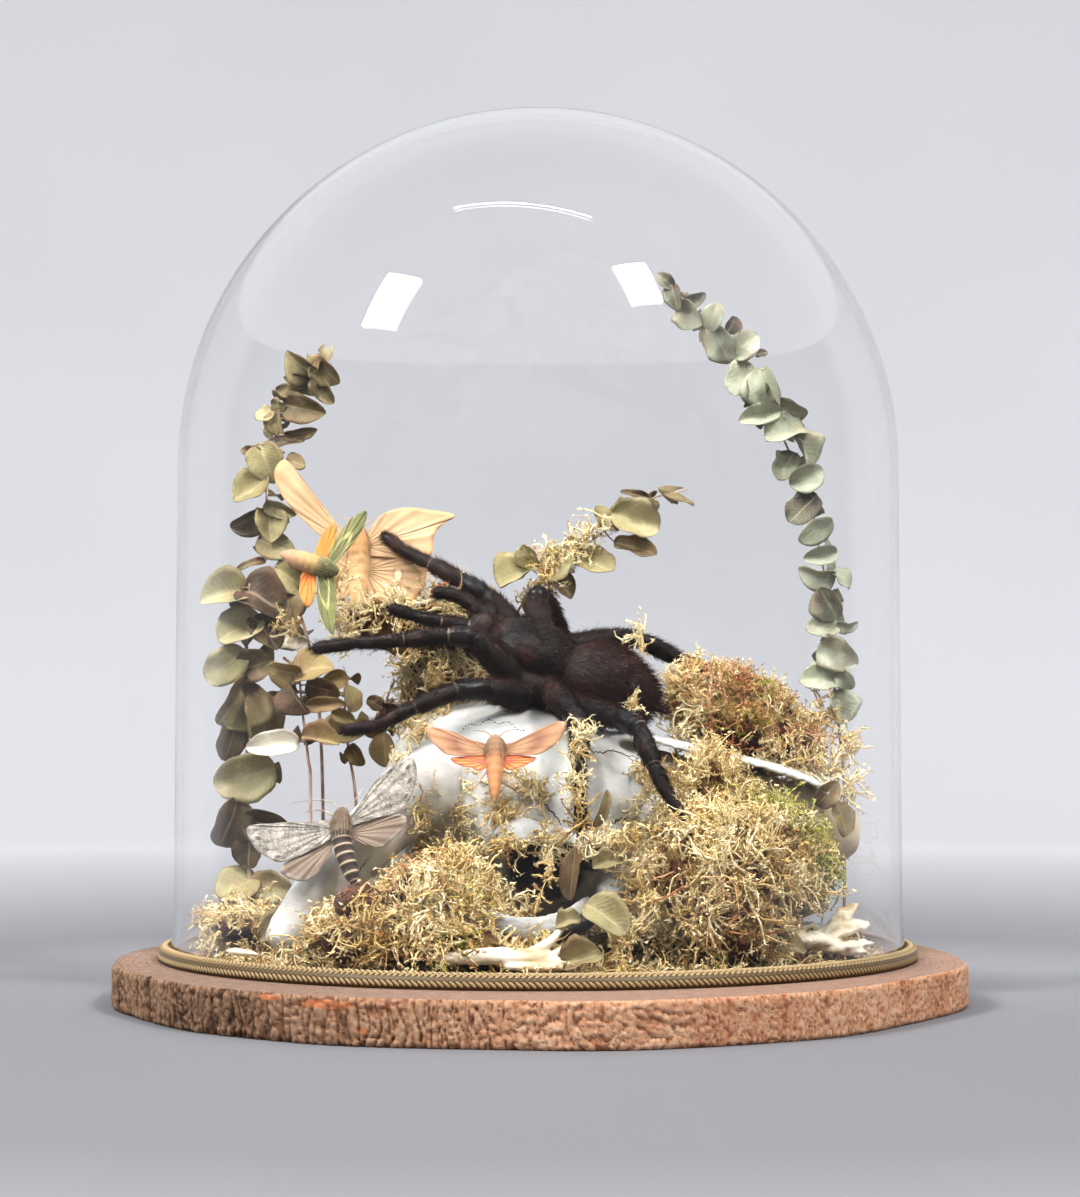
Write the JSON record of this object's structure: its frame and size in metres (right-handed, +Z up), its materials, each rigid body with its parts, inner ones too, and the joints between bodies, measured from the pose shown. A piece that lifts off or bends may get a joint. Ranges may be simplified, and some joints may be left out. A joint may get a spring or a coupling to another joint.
{
  "type": "tarantula and moths in glass dome",
  "caption": "Dried tarantula and spread moths mounted on a horned animal skull among moss and eucalyptus, under a clear glass dome on a bark-edged wood slice; a free-standing display.",
  "frame": {"origin": "the middle of the underside of the wood slice, where the display stands on a table", "axes": "+Z up along the dome's height, +X to the right of a viewer facing the display, +Y away from that viewer"},
  "size_m": [0.3455, 0.3625, 0.3693],
  "materials": {
    "slab_wood": "sanded top, rough bark edge",
    "dome_glass": "clear, polished",
    "braid": "woven, satin",
    "bone": "dry, matte, finely cracked",
    "bark": "rough",
    "spider_skin": "hairy, satin",
    "pink_moth": "powdery scales",
    "grey_moth": "powdery scales",
    "green_moth": "powdery scales",
    "peach_moth": "powdery scales",
    "leaf_olive": "dried, matte",
    "leaf_brown": "dried, matte",
    "leaf_sage": "dried, waxy bloom",
    "moss": "dry, fibrous"
  },
  "bodies": {
    "root": {"wood_slice": "slab_wood", "glass_dome": "dome_glass", "braid_trim": "braid", "ram_skull": "bone", "jaw_bone": "bone", "vertebra": "bone", "bone_sliver": "bone", "bark_chunk_upper": "bark", "bark_chunk_lower": "bark", "tarantula": "spider_skin", "moth_pink": "pink_moth", "moth_grey": "grey_moth", "moth_green": "green_moth", "moth_peach": "peach_moth", "eucalyptus_far_left": "leaf_olive", "eucalyptus_tall_left": "leaf_olive", "eucalyptus_mid_left": "leaf_olive", "eucalyptus_inner_left": "leaf_olive", "eucalyptus_small_brown": "leaf_brown", "eucalyptus_tall_right": "leaf_sage", "eucalyptus_centre": "leaf_sage", "moss_bed": "moss", "moss_front_left": "moss", "moss_right_hill": "moss", "moss_right_top": "moss", "moss_right_back": "moss", "moss_back_left": "moss", "moss_left_foot": "moss"}
  },
  "joints": []
}
